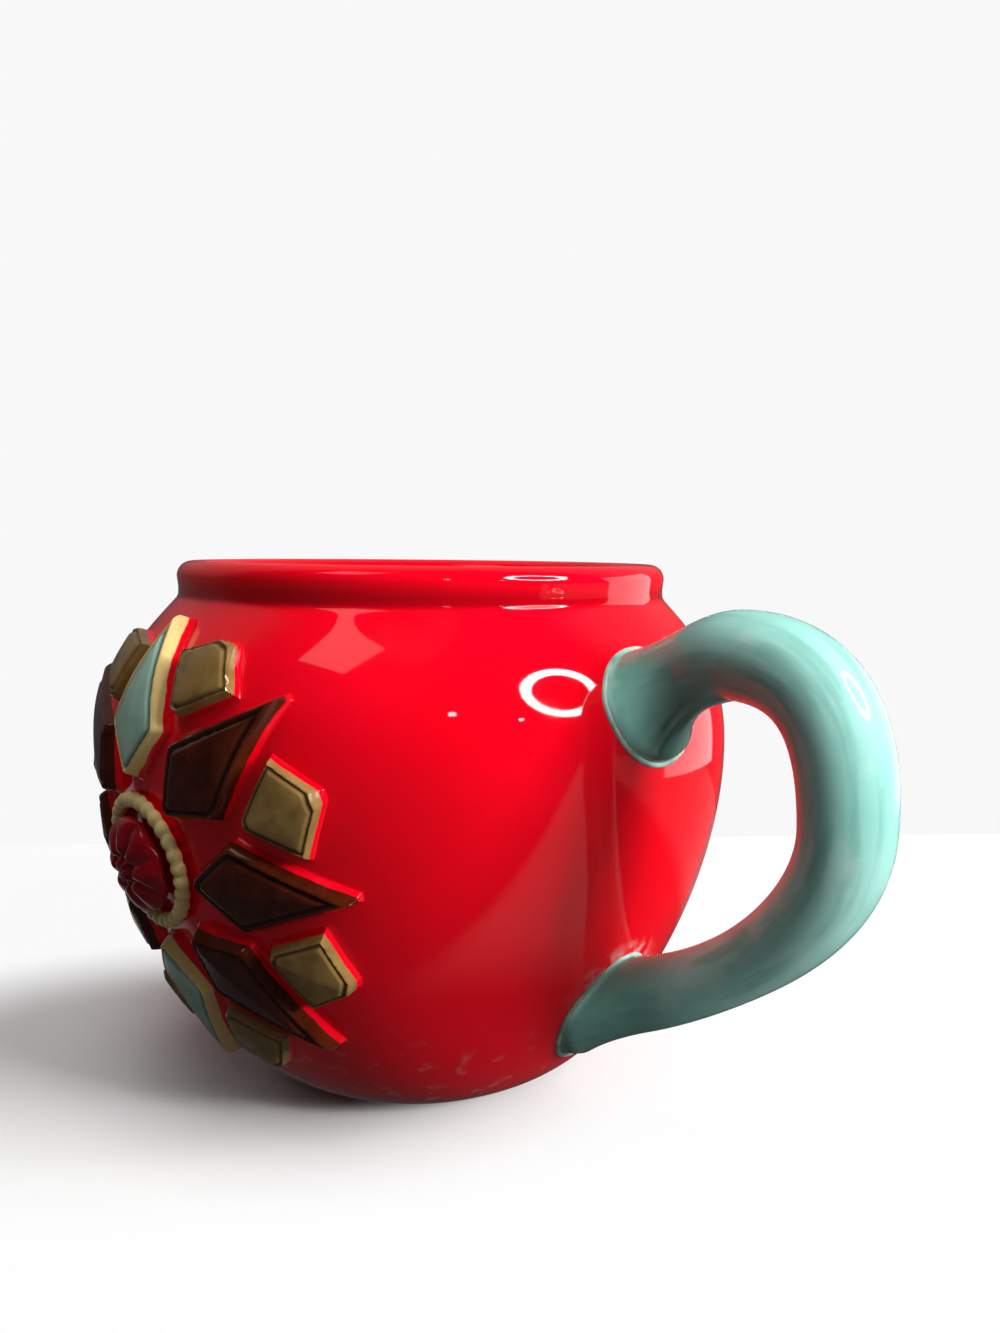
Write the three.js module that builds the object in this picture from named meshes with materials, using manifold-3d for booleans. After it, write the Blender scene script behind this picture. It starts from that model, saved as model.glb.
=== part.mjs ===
// A round-bellied ceramic mug with a rolled rim, an ear-shaped handle and a relief star on its front.
// Sizes are in millimetres. The origin is on the mug's axis at the table, +Z is up,
// the handle points along +X and the star faces -Y.

import * as THREE from 'three';
import { mergeVertices } from 'three/addons/utils/BufferGeometryUtils.js';
import Module from 'manifold-3d';

// Wall of the mug
const bellyRadius = 56;
const bellyHeight = 59;
const wallThickness = 4.4;
const heelAngle = THREE.MathUtils.degToRad(23);
const heelFullness = 13;
const lowerFullness = 25;
const upperFullness = 14;
const shoulderAngle = THREE.MathUtils.degToRad(48);
const shoulderFullness = 7.5;

// Rolled rim
const neckRadius = 44.1;
const neckHeight = 85.5;
const neckFillet = 1.6;
const rimRadius = 44.3;
const rimHeight = 91.5;
const lipThickness = 5.2;

// Foot and floor
const footRadius = 28;
const footWidth = 5;
const footLift = 0.7;
const recessDepth = 0.8;
const floorThickness = 4.4;

// Handle: where it leaves the wall, its crown, its bow and the thickness along it
const upperRootHeight = 72.6;
const upperRootAngle = THREE.MathUtils.degToRad(33);
const upperRootPull = 7;
const crownOut = 12.7;
const crownHeight = 79.6;
const crownPullIn = 3.2;
const crownPullOut = 10.5;
const bowOut = 29.6;
const bowHeight = 58;
const bowPullUp = 16;
const bowPullDown = 14;
const lowerRootHeight = 21.8;
const lowerRootAngle = THREE.MathUtils.degToRad(21);
const lowerRootPull = 22;
const rootRadius = 5.8;
const crownRadius = 6.7;
const bowRadius = 6.2;
const armRadius = 5;
const upperFlare = 4.2;
const upperTopFlare = 0.9;
const lowerFlare = 2.6;
const lowerTopFlare = 0.2;
const flareReach = 9;
const rootZone = 20;

// Slip seams and the gap that every applied piece keeps from what it sits on
const seatGap = 0.3;
const seamWidth = 0.7;
const seamReach = 1.3;
const seamEdge = 0.3;

// Relief star, measured along the wall from its centre
const starHeight = 46;
const pointCount = 8;
const bossRadius = 7.4;
const bossRise = 2.6;
const ringGap = 1;
const ringTube = 1.3;
const sprigGap = 1.6;
const pointShoulder = 21;
const pointReach = 39.5;
const gemShoulder = 32.5;
const gemReach = 38.5;
const tipWidth = 1.6;
const reliefRise = 2;
const reliefEdge = 0.7;
const reliefSlope = 1.6;
const ridgeRise = 0.5;

// Fineness of the facets
const turnSteps = 64;
const wallSteps = 16;
const lipSteps = 3;
const floorSteps = 4;
const rootSteps = 15;
const runOnSteps = 8;
const handleSteps = 20;
const handleSides = 24;
const starSteps = 32;
const domeSteps = 5;
const ringSides = 8;
const kiteAcross = 4;
const kiteAlong = 8;

const wasm = await Module();
wasm.setup();

function glaze(colour, roughness) {
  return new THREE.MeshStandardMaterial({ color: colour, roughness, metalness: 0 });
}

const redGlaze = glaze(0xd8061c, 0.1);
const deepRedGlaze = glaze(0x7a0410, 0.12);
const turquoiseGlaze = glaze(0x7fc4b6, 0.14);
const paleSlip = glaze(0xc9d8cb, 0.2);
const brownGlaze = glaze(0x3f1a0c, 0.16);
const tanGlaze = glaze(0x9c8350, 0.16);
const creamGlaze = glaze(0xe6d08c, 0.16);

// Booleans on closed meshes

function toSolid(geometry) {
  const bare = geometry.clone();
  bare.deleteAttribute('normal');
  bare.deleteAttribute('uv');
  const merged = mergeVertices(bare, 1e-4);
  const corners = merged.index.array;
  const triangles = [];
  for (let i = 0; i < corners.length; i += 3) {
    const [a, b, c] = corners.slice(i, i + 3);
    if (a !== b && b !== c && c !== a) triangles.push(a, b, c);
  }
  return new wasm.Manifold(new wasm.Mesh({
    numProp: 3,
    vertProperties: new Float32Array(merged.attributes.position.array),
    triVerts: new Uint32Array(triangles),
  }));
}

function toGeometry(solid) {
  const mesh = solid.getMesh();
  const geometry = new THREE.BufferGeometry();
  geometry.setAttribute('position', new THREE.BufferAttribute(mesh.vertProperties, 3));
  geometry.setIndex(new THREE.BufferAttribute(mesh.triVerts, 1));
  return geometry;
}

// The outside of the wall, from the heel up to the neck, as radius and height

const heelRadius = footRadius + footLift;
const shoulderSlope = new THREE.Vector2(Math.cos(shoulderAngle), -Math.sin(shoulderAngle));
const neck = new THREE.Vector2(neckRadius, neckHeight);
const shoulderEnd = neck.clone().addScaledVector(shoulderSlope, neckFillet);
const shoulderPull = shoulderEnd.clone().addScaledVector(shoulderSlope, shoulderFullness);
const wall = new THREE.Path();
wall.moveTo(heelRadius, footLift);
wall.bezierCurveTo(
  heelRadius + heelFullness * Math.cos(heelAngle), footLift + heelFullness * Math.sin(heelAngle),
  bellyRadius, bellyHeight - lowerFullness,
  bellyRadius, bellyHeight,
);
wall.bezierCurveTo(
  bellyRadius, bellyHeight + upperFullness,
  shoulderPull.x, shoulderPull.y,
  shoulderEnd.x, shoulderEnd.y,
);
const wallLength = wall.getLength();

function wallAt(share) {
  const point = wall.getPoint(share);
  const tangent = wall.getTangent(share);
  return { point, normal: new THREE.Vector2(tangent.y, -tangent.x) };
}

function shareAtHeight(height) {
  let low = 0;
  let high = 1;
  while (high - low > 1e-6) {
    const middle = (low + high) / 2;
    if (wall.getPoint(middle).y < height) low = middle;
    else high = middle;
  }
  return low;
}

// Outside curve shifted along its normals, outwards where the offset is positive
function wallPoints(offset) {
  const points = [];
  for (let i = 0; i <= wallSteps; i++) {
    const { point, normal } = wallAt(i / wallSteps);
    points.push(point.addScaledVector(normal, offset));
  }
  return points;
}

function revolve(outline) {
  return new THREE.LatheGeometry(outline, turnSteps).rotateX(Math.PI / 2);
}

// Mug body: foot ring, outer wall, rolled rim, inner wall and floor in one outline

function bodyOutline() {
  const lipRadius = lipThickness / 2;
  const lipCentre = rimRadius - lipRadius;
  const lipBase = rimHeight - lipRadius;
  const inside = wallPoints(-wallThickness).reverse();
  const throat = inside[0];
  const basin = inside[inside.length - 1];
  const floorHeight = recessDepth + floorThickness;
  const lip = new THREE.Path();
  lip.moveTo(shoulderEnd.x, shoulderEnd.y);
  lip.quadraticCurveTo(neck.x, neck.y, neck.x, neck.y + neckFillet);
  lip.absarc(lipCentre, lipBase, lipRadius, 0, Math.PI, false);
  lip.quadraticCurveTo(lipCentre - lipRadius, (throat.y + lipBase) / 2, throat.x, throat.y);
  const floor = new THREE.QuadraticBezierCurve(
    basin, new THREE.Vector2(basin.x / 2, floorHeight), new THREE.Vector2(0, floorHeight),
  );
  return [
    new THREE.Vector2(0, recessDepth),
    new THREE.Vector2(footRadius - footWidth, recessDepth),
    new THREE.Vector2(footRadius - footWidth + recessDepth, 0),
    new THREE.Vector2(footRadius, 0),
    ...wallPoints(0),
    ...lip.getPoints(lipSteps).slice(1, -1),
    ...inside,
    ...floor.getPoints(floorSteps).slice(1),
  ];
}

// Everything within the wall's outside, grown by a clearance, as a cutter for what sits on the wall
function wallCutter(clearance) {
  const skin = wallPoints(clearance);
  const outline = [
    new THREE.Vector2(0, skin[0].y),
    ...skin,
    new THREE.Vector2(0, skin[skin.length - 1].y),
  ];
  return toSolid(revolve(outline));
}

// Handle: a round tube along its centreline, flared where it nears the wall

function handlePath() {
  const upper = wall.getPoint(shareAtHeight(upperRootHeight));
  const lower = wall.getPoint(shareAtHeight(lowerRootHeight));
  const at = (radius, height) => new THREE.Vector3(radius, 0, height);
  const leaving = (root, angle, pull) => at(root.x + pull * Math.cos(angle), root.y + pull * Math.sin(angle));
  const crown = bellyRadius + crownOut;
  const bow = bellyRadius + bowOut;
  const path = new THREE.CurvePath();
  path.add(new THREE.CubicBezierCurve3(
    at(upper.x, upper.y),
    leaving(upper, upperRootAngle, upperRootPull),
    at(crown - crownPullIn, crownHeight),
    at(crown, crownHeight),
  ));
  path.add(new THREE.CubicBezierCurve3(
    at(crown, crownHeight),
    at(crown + crownPullOut, crownHeight),
    at(bow, bowHeight + bowPullUp),
    at(bow, bowHeight),
  ));
  path.add(new THREE.CubicBezierCurve3(
    at(bow, bowHeight),
    at(bow, bowHeight - bowPullDown),
    leaving(lower, lowerRootAngle, lowerRootPull),
    at(lower.x, lower.y),
  ));
  return path;
}

const handleLine = handlePath();
const handleRadii = [rootRadius, crownRadius, bowRadius, armRadius, rootRadius];
const handleThickness = new THREE.SplineCurve(handleRadii.map((radius, i) => new THREE.Vector2(i, radius)));

// How far a point stands off the wall, near enough for a fade
function standOff(point) {
  const share = shareAtHeight(point.z);
  const { point: foot, normal } = wallAt(share);
  return (Math.hypot(point.x, point.y) - foot.x) * normal.x;
}

// Share that is 1 on the wall and falls smoothly to 0 at the given reach
function fade(distance, reach) {
  return (1 - THREE.MathUtils.clamp(distance / reach, 0, 1)) ** 2;
}

// Rings round the centreline at the given shares of it. Each vertex is pushed out by swell, which is given
// how far the vertex stands off the wall, how much it faces up and its share of the centreline.
// An end on the wall runs on into the wall, to be cut off there.
function tube(shares, swell) {
  const side = new THREE.Vector3(0, 1, 0);
  const ringAt = (share, shift) => {
    const tangent = handleLine.getTangent(share);
    const centre = handleLine.getPoint(share).addScaledVector(tangent, shift);
    const across = new THREE.Vector3().crossVectors(side, tangent);
    const radius = handleThickness.getPoint(share).y;
    const ring = [];
    for (let i = 0; i < handleSides; i++) {
      const angle = (i / handleSides) * 2 * Math.PI;
      const out = across.clone().multiplyScalar(Math.cos(angle)).addScaledVector(side, Math.sin(angle));
      const distance = standOff(centre.clone().addScaledVector(out, radius));
      const grown = radius + swell(distance, out.z, share);
      ring.push(centre.clone().addScaledVector(out, grown));
    }
    return ring;
  };
  const rings = shares.map((share) => ringAt(share, 0));
  for (const shift of evenly(0, rootZone, runOnSteps).slice(1)) {
    if (shares[0] === 0) rings.unshift(ringAt(0, -shift));
    if (shares[shares.length - 1] === 1) rings.push(ringAt(1, shift));
  }
  return loft(rings);
}

// A closed skin over rings of equal counts, with a fan on each end
function loft(rings) {
  const count = rings[0].length;
  const points = rings.flat();
  const ends = [rings[0], rings[rings.length - 1]].map((ring) =>
    ring.reduce((sum, point) => sum.add(point), new THREE.Vector3()).divideScalar(count));
  const index = [];
  for (let i = 0; i < count; i++) {
    const next = (i + 1) % count;
    for (let r = 0; r < rings.length - 1; r++) {
      const low = r * count;
      const high = low + count;
      index.push(low + i, low + next, high + i, high + i, low + next, high + next);
    }
    const last = (rings.length - 1) * count;
    index.push(points.length, next, i);
    index.push(points.length + 1, last + i, last + next);
  }
  const geometry = new THREE.BufferGeometry().setFromPoints([...points, ...ends]);
  geometry.setIndex(index);
  return geometry;
}

// Shares of the centreline where rings go: close together in the zone next to each root

function evenly(from, to, steps) {
  return Array.from({ length: steps + 1 }, (_, i) => from + ((to - from) * i) / steps);
}

const rootShare = rootZone / handleLine.getLength();
const upperRoot = evenly(0, rootShare, rootSteps);
const lowerRoot = evenly(1 - rootShare, 1, rootSteps);
const between = evenly(rootShare, 1 - rootShare, handleSteps).slice(1, -1);

// The flare is fuller below than on top, where it is smoothed down, and fuller at the upper root
function flare(distance, facingUp, share) {
  const [below, top] = share < 0.5 ? [upperFlare, upperTopFlare] : [lowerFlare, lowerTopFlare];
  return THREE.MathUtils.lerp(below, top, Math.max(0, facingUp)) * fade(distance, flareReach);
}

function handle() {
  const solid = toSolid(tube([...upperRoot, ...between, ...lowerRoot], flare));
  return toGeometry(solid.subtract(wallCutter(seatGap)));
}

// Slip seam: a fillet round one root of the handle, clear of both the handle and the wall
function slipSeam(root) {
  const inner = (...place) => flare(...place) + seatGap;
  const outer = (...place) => inner(...place) + seamEdge + seamWidth * fade(place[0], seamReach);
  const band = toSolid(tube(root, outer)).intersect(wallCutter(seatGap + seamReach));
  return toGeometry(band.subtract(toSolid(tube(root, inner))).subtract(wallCutter(seatGap)));
}

// Relief star: each sprig is made flat, as across, along and rise, then laid on the wall

const starShare = shareAtHeight(starHeight);

function layOnWall(geometry) {
  const position = geometry.attributes.position;
  for (let i = 0; i < position.count; i++) {
    const { point, normal } = wallAt(starShare + position.getY(i) / wallLength);
    const turn = position.getX(i) / point.x;
    const rise = seatGap + position.getZ(i);
    const radius = point.x + normal.x * rise;
    position.setXYZ(i, radius * Math.sin(turn), -radius * Math.cos(turn), point.y + normal.y * rise);
  }
  return geometry;
}

// A kite from start to reach, with its shoulder the widest, sloped edges and a ridge along its middle
function kite(start, shoulder, reach, shoulderHalf) {
  const { clamp, mapLinear } = THREE.MathUtils;
  const tipHalf = tipWidth / 2;
  const geometry = new THREE.BoxGeometry(2, 1, 2, kiteAcross, kiteAlong, 1);
  const position = geometry.attributes.position;
  for (let i = 0; i < position.count; i++) {
    const across = Math.sin((position.getX(i) * Math.PI) / 2);
    const along = start + (position.getY(i) + 0.5) * (reach - start);
    const half = Math.min(
      mapLinear(along, start, shoulder, tipHalf, shoulderHalf),
      mapLinear(along, shoulder, reach, shoulderHalf, tipHalf),
    );
    const margin = Math.min((1 - Math.abs(across)) * half, along - start, reach - along);
    const crest = reliefRise + ridgeRise * (1 - Math.abs(across));
    const top = mapLinear(clamp(margin / reliefSlope, 0, 1), 0, 1, reliefEdge, crest);
    position.setXYZ(i, across * half, along, position.getZ(i) > 0 ? top : 0);
  }
  return geometry;
}

function boss() {
  const outline = [
    new THREE.Vector2(0, 0),
    new THREE.Vector2(bossRadius / 2, 0),
    new THREE.Vector2(bossRadius, 0),
  ];
  const dome = new THREE.EllipseCurve(0, reliefEdge, bossRadius, bossRise - reliefEdge, 0, Math.PI / 2);
  outline.push(...dome.getPoints(domeSteps));
  return new THREE.LatheGeometry(outline, starSteps).rotateX(Math.PI / 2);
}

function ring() {
  const middle = bossRadius + ringGap + ringTube;
  return new THREE.TorusGeometry(middle, ringTube, ringSides, starSteps).translate(0, 0, ringTube);
}

// The mug

const mug = new THREE.Group();

function addPiece(name, geometry, material) {
  const mesh = new THREE.Mesh(geometry, material);
  mesh.name = name;
  mug.add(mesh);
}

addPiece('mug_body', revolve(bodyOutline()), redGlaze);
addPiece('handle', handle(), turquoiseGlaze);
addPiece('upper_slip_seam', slipSeam(upperRoot), paleSlip);
addPiece('lower_slip_seam', slipSeam(lowerRoot), paleSlip);
addPiece('star_boss', layOnWall(boss()), deepRedGlaze);
addPiece('star_ring', layOnWall(ring()), creamGlaze);

// The points fill the turn but for the gap between neighbours, and the gems fill the notches between points

const halfTurn = Math.PI / pointCount;
const pointStart = bossRadius + ringGap + 2 * ringTube + sprigGap;
const pointHalf = pointShoulder * Math.tan(halfTurn) - sprigGap / 2 / Math.cos(halfTurn);
const notchAxis = new THREE.Vector2();
const notchLow = new THREE.Vector2(pointShoulder, -pointHalf).rotateAround(notchAxis, halfTurn);
const notchHigh = new THREE.Vector2(pointReach, -tipWidth / 2).rotateAround(notchAxis, halfTurn);
const notchSlope = (notchHigh.y - notchLow.y) / (notchHigh.x - notchLow.x);
const notchMargin = sprigGap * Math.hypot(1, notchSlope);
const gemHalf = notchLow.y + (gemShoulder - notchLow.x) * notchSlope - notchMargin;
const gemStart = gemShoulder - (gemHalf - tipWidth / 2) / notchSlope;

for (let i = 0; i < pointCount; i++) {
  const turn = 2 * halfTurn * i;
  const upright = i % (pointCount / 2) === 0;
  const point = kite(pointStart, pointShoulder, pointReach, pointHalf).rotateZ(-turn);
  addPiece(`star_point_${i + 1}`, layOnWall(point), upright ? turquoiseGlaze : brownGlaze);
  const gem = kite(gemStart, gemShoulder, gemReach, gemHalf).rotateZ(-turn - halfTurn);
  addPiece(`star_gem_${i + 1}`, layOnWall(gem), tanGlaze);
}

export default mug;
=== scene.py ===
import math

import bpy
from mathutils import Matrix, Vector
from mathutils.geometry import interpolate_bezier
from mathutils.kdtree import KDTree


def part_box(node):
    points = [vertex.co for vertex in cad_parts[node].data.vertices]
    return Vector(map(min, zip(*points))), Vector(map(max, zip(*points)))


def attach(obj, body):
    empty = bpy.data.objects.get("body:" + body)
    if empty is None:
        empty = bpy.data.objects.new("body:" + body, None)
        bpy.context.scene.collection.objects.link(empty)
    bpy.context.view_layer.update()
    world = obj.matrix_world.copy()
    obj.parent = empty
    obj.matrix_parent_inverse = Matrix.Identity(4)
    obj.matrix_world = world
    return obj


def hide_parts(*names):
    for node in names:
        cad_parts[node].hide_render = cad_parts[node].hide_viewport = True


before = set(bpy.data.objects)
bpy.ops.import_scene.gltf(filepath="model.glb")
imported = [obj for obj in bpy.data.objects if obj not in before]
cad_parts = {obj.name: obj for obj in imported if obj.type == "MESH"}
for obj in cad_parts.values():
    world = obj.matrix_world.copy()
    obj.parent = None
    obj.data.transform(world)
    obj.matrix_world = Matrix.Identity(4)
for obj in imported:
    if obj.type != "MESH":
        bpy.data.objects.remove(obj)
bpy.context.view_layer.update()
mm = 0.001
weldGap = 0.002 * mm
print("frame loaded with", len(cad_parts), "nodes")


# what every piece uses

def freshStart():
    if bpy.context.object and bpy.context.object.mode != "OBJECT":
        bpy.ops.object.mode_set(mode="OBJECT")
    bpy.ops.object.select_all(action="DESELECT")


def pick(piece):
    freshStart()
    piece.select_set(True)
    bpy.context.view_layer.objects.active = piece


def applyModifier(piece, kind, **settings):
    pick(piece)
    modifier = piece.modifiers.new(kind.lower(), kind)
    for name, value in settings.items():
        setattr(modifier, name, value)
    bpy.ops.object.modifier_apply(modifier=modifier.name)


def subdivide(piece, level):
    applyModifier(piece, "SUBSURF", levels=level, render_levels=level)


def smooth(piece, angle):
    pick(piece)
    bpy.ops.object.shade_smooth_by_angle(angle=math.radians(angle))


def standFor(piece, node, glaze):
    piece.name = node + "Look"
    piece.data.materials.clear()
    piece.data.materials.append(glaze)
    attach(piece, "root")
    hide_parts(node)


# one point is drawn out along the outline, and the line is spun round the axis
def spinOutline(name, outline, steps):
    freshStart()
    bpy.ops.mesh.primitive_plane_add(size=2 * mm)
    piece = bpy.context.object
    piece.name = name
    bpy.ops.object.mode_set(mode="EDIT")
    bpy.ops.mesh.merge(type="CENTER")
    here = Vector()
    for i, there in enumerate(outline):
        if i == 0:
            bpy.ops.transform.translate(value=there)
        else:
            bpy.ops.mesh.extrude_region_move(TRANSFORM_OT_translate={"value": there - here})
        here = there
    bpy.ops.mesh.select_all(action="SELECT")
    bpy.ops.mesh.spin(steps=steps, angle=2 * math.pi, center=(0, 0, 0), axis=(0, 0, 1))
    bpy.ops.mesh.select_all(action="SELECT")
    bpy.ops.mesh.remove_doubles(threshold=weldGap)
    bpy.ops.mesh.normals_make_consistent(inside=False)
    bpy.ops.object.mode_set(mode="OBJECT")
    return piece


# mug body: one outline from the foot up the wall, over the rolled rim and down the inside
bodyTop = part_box("mug_body")[1]
bodyShape = {  # millimetres and degrees
    "bellyRadius": bodyTop.x / mm, "bellyHeight": 59, "wall": 4.4,
    "heelAngle": 23, "heelFullness": 13, "lowerFullness": 25,
    "upperFullness": 14, "shoulderAngle": 48, "shoulderFullness": 7.5,
    "neckRadius": 44.1, "neckHeight": 85.5, "neckFillet": 1.6,
    "rimRadius": 44.3, "rimHeight": bodyTop.z / mm, "lip": 5.2,
    "footRadius": 28, "footWidth": 5, "footLift": 0.7, "recess": 0.8, "floor": 4.4,
    "turnSteps": 160, "wallSteps": 48, "lipSteps": 20, "floorSteps": 12,
    "edge": 0.35, "edgeSteps": 3, "edgeAngle": 28, "smoothAngle": 40,
}


def at(radius, height):
    return Vector((radius, 0, height)) * mm


def bend(start, handleA, handleB, end, steps):
    return interpolate_bezier(start, handleA, handleB, end, steps + 1)


def wallOutline(s):
    heelTurn = math.radians(s["heelAngle"])
    shoulderTurn = math.radians(s["shoulderAngle"])
    slope = Vector((math.cos(shoulderTurn), 0, -math.sin(shoulderTurn))) * mm
    heel = at(s["footRadius"] + s["footLift"], s["footLift"])
    belly = at(s["bellyRadius"], s["bellyHeight"])
    shoulder = at(s["neckRadius"], s["neckHeight"]) + slope * s["neckFillet"]
    lower = bend(heel, heel + at(math.cos(heelTurn), math.sin(heelTurn)) * s["heelFullness"],
                 belly - at(0, s["lowerFullness"]), belly, s["wallSteps"])
    upper = bend(belly, belly + at(0, s["upperFullness"]),
                 shoulder + slope * s["shoulderFullness"], shoulder, s["wallSteps"])
    return lower + upper[1:]


def outwards(points, i):
    along = points[min(i + 1, len(points) - 1)] - points[max(i - 1, 0)]
    return Vector((along.z, 0, -along.x)).normalized()


wallLine = wallOutline(bodyShape)
wallMarks = [0.0]
for a, b in zip(wallLine, wallLine[1:]):
    wallMarks.append(wallMarks[-1] + (b - a).length)


# place and outward direction on the wall at a distance from the heel
def onWall(distance):
    i = next((k for k, mark in enumerate(wallMarks[1:-1]) if mark > distance), len(wallMarks) - 2)
    share = (distance - wallMarks[i]) / (wallMarks[i + 1] - wallMarks[i])
    place = wallLine[i].lerp(wallLine[i + 1], share)
    return place, outwards(wallLine, i).lerp(outwards(wallLine, i + 1), share).normalized()


def wallDistance(height):
    i = next(k for k, place in enumerate(wallLine) if place.z > height)
    share = (height - wallLine[i - 1].z) / (wallLine[i].z - wallLine[i - 1].z)
    return wallMarks[i - 1] + share * (wallMarks[i] - wallMarks[i - 1])


def bodyOutline(s):
    neck = at(s["neckRadius"], s["neckHeight"])
    collar = neck + at(0, s["neckFillet"])
    lip = s["lip"] / 2
    crest = at(s["rimRadius"] - lip, s["rimHeight"] - lip)
    inside = [p - outwards(wallLine, i) * s["wall"] * mm for i, p in enumerate(wallLine)][::-1]
    throat = crest - at(lip, 0)
    middle = Vector((throat.x, 0, (throat.z + inside[0].z) / 2))
    centre = at(0, s["recess"] + s["floor"])
    basin = inside[-1]
    outline = [at(0, s["recess"]), at(s["footRadius"] - s["footWidth"], s["recess"]),
               at(s["footRadius"] - s["footWidth"] + s["recess"], 0), at(s["footRadius"], 0)]
    outline += wallLine
    outline += bend(wallLine[-1], neck, neck, collar, s["lipSteps"] // 2)[1:]
    for i in range(s["lipSteps"] + 1):
        turn = math.pi * i / s["lipSteps"]
        outline.append(crest + at(math.cos(turn), math.sin(turn)) * lip)
    outline += bend(throat, middle, middle, inside[0], s["lipSteps"] // 2)[1:]
    outline += inside[1:]
    dip = Vector((basin.x / 2, 0, centre.z))
    outline += bend(basin, dip, dip, centre, s["floorSteps"])[1:]
    return outline


body = spinOutline("body", bodyOutline(bodyShape), bodyShape["turnSteps"])
applyModifier(body, "BEVEL", width=bodyShape["edge"] * mm, segments=bodyShape["edgeSteps"],
              limit_method="ANGLE", angle_limit=math.radians(bodyShape["edgeAngle"]))
smooth(body, bodyShape["smoothAngle"])
print("body spun:", len(body.data.polygons), "faces")


# handle: a ring pushed along its line, flared where it nears the wall, then cut to the wall
handleShape = {  # millimetres and degrees
    "upperRoot": 72.6, "upperAngle": 33, "upperPull": 7,
    "crownOut": 12.7, "crownHeight": 79.6, "crownPullIn": 3.2, "crownPullOut": 10.5,
    "bowOut": 29.6, "bowHeight": 58, "bowPullUp": 16, "bowPullDown": 14,
    "lowerRoot": 21.8, "lowerAngle": 21, "lowerPull": 22,
    "radii": [5.8, 6.7, 6.2, 5, 5.8], "sides": 64, "spacing": 0.7, "rootZone": 20,
    "upperFlare": 4.2, "upperTopFlare": 0.9, "lowerFlare": 2.6, "lowerTopFlare": 0.2, "flareReach": 9,
    "sunk": 0.15, "lineSteps": 120, "brushStretch": 6, "smoothAngle": 50,
}


def handleLine(s):
    belly = bodyShape["bellyRadius"]
    upper = onWall(wallDistance(s["upperRoot"] * mm))[0]
    lower = onWall(wallDistance(s["lowerRoot"] * mm))[0]
    crown = at(belly + s["crownOut"], s["crownHeight"])
    bow = at(belly + s["bowOut"], s["bowHeight"])
    upperTurn = math.radians(s["upperAngle"])
    lowerTurn = math.radians(s["lowerAngle"])
    upperWay = at(math.cos(upperTurn), math.sin(upperTurn))
    lowerWay = at(math.cos(lowerTurn), math.sin(lowerTurn))
    steps = s["lineSteps"]
    line = bend(upper, upper + upperWay * s["upperPull"], crown - at(s["crownPullIn"], 0), crown, steps)
    line += bend(crown, crown + at(s["crownPullOut"], 0), bow + at(0, s["bowPullUp"]), bow, steps)[1:]
    line += bend(bow, bow - at(0, s["bowPullDown"]), lower + lowerWay * s["lowerPull"], lower, steps)[1:]
    return line


# the line walked in even steps: place, direction and share of its length
def evenStations(line, spacing):
    lengths = [0.0]
    for a, b in zip(line, line[1:]):
        lengths.append(lengths[-1] + (b - a).length)
    count = round(lengths[-1] / spacing)
    stations = []
    k = 0
    for i in range(count + 1):
        target = lengths[-1] * i / count
        while k < len(line) - 2 and lengths[k + 1] < target:
            k += 1
        share = (target - lengths[k]) / (lengths[k + 1] - lengths[k])
        place = line[k].lerp(line[k + 1], share)
        way = (line[k + 1] - line[k]).normalized()
        stations.append((place, way, i / count))
    return stations


# a smooth curve through evenly spaced values
def through(values, share):
    place = share * (len(values) - 1)
    i = min(int(place), len(values) - 2)
    t = place - i
    before, start, end, after = (values[min(max(k, 0), len(values) - 1)] for k in range(i - 1, i + 3))
    startSlope = (end - before) / 2
    endSlope = (after - start) / 2
    cubic = 2 * start - 2 * end + startSlope + endSlope
    square = 3 * end - 3 * start - 2 * startSlope - endSlope
    return cubic * t ** 3 + square * t ** 2 + startSlope * t + start


# how far a place stands off the wall, near enough for a fade
def standOff(place):
    margin = 0.1 * mm
    height = min(max(place.z, wallLine[0].z + margin), wallLine[-1].z - margin)
    foot, normal = onWall(wallDistance(height))
    return (math.hypot(place.x, place.y) - foot.x) * normal.x


def makeHandle(s):
    stations = evenStations(handleLine(s), s["spacing"] * mm)
    first, last = stations[0], stations[-1]
    steps = [step * s["spacing"] * mm for step in range(1, round(s["rootZone"] / s["spacing"]) + 1)]
    stations = [(first[0] - first[1] * step, first[1], 0) for step in reversed(steps)] + stations
    stations += [(last[0] + last[1] * step, last[1], 1) for step in steps]
    freshStart()
    bpy.ops.mesh.primitive_circle_add(vertices=s["sides"], radius=s["radii"][0] * mm, fill_type="NGON")
    piece = bpy.context.object
    bpy.ops.object.mode_set(mode="EDIT")
    centre, turn, radius = Vector(), 0.0, s["radii"][0]
    for i, (place, way, share) in enumerate(stations):
        wanted = math.atan2(way.x, way.z)
        if i == 0:
            bpy.ops.transform.translate(value=place)
        else:
            bpy.ops.mesh.extrude_region_move(TRANSFORM_OT_translate={"value": place - centre})
        grow = through(s["radii"], share) / radius
        bpy.ops.transform.rotate(value=turn - wanted, orient_axis="Y", center_override=place)
        bpy.ops.transform.resize(value=(grow, grow, grow), center_override=place)
        centre, turn, radius = place, wanted, radius * grow
    bpy.ops.mesh.select_all(action="SELECT")
    bpy.ops.mesh.normals_make_consistent(inside=False)
    bpy.ops.object.mode_set(mode="OBJECT")
    return piece, stations


handle, handleStations = makeHandle(handleShape)
print("handle swept:", len(handle.data.polygons), "faces")


# fade that is 1 on the wall and falls smoothly to 0 at the reach
def fade(distance, reach):
    return (1 - min(max(distance / reach, 0), 1)) ** 2


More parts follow.
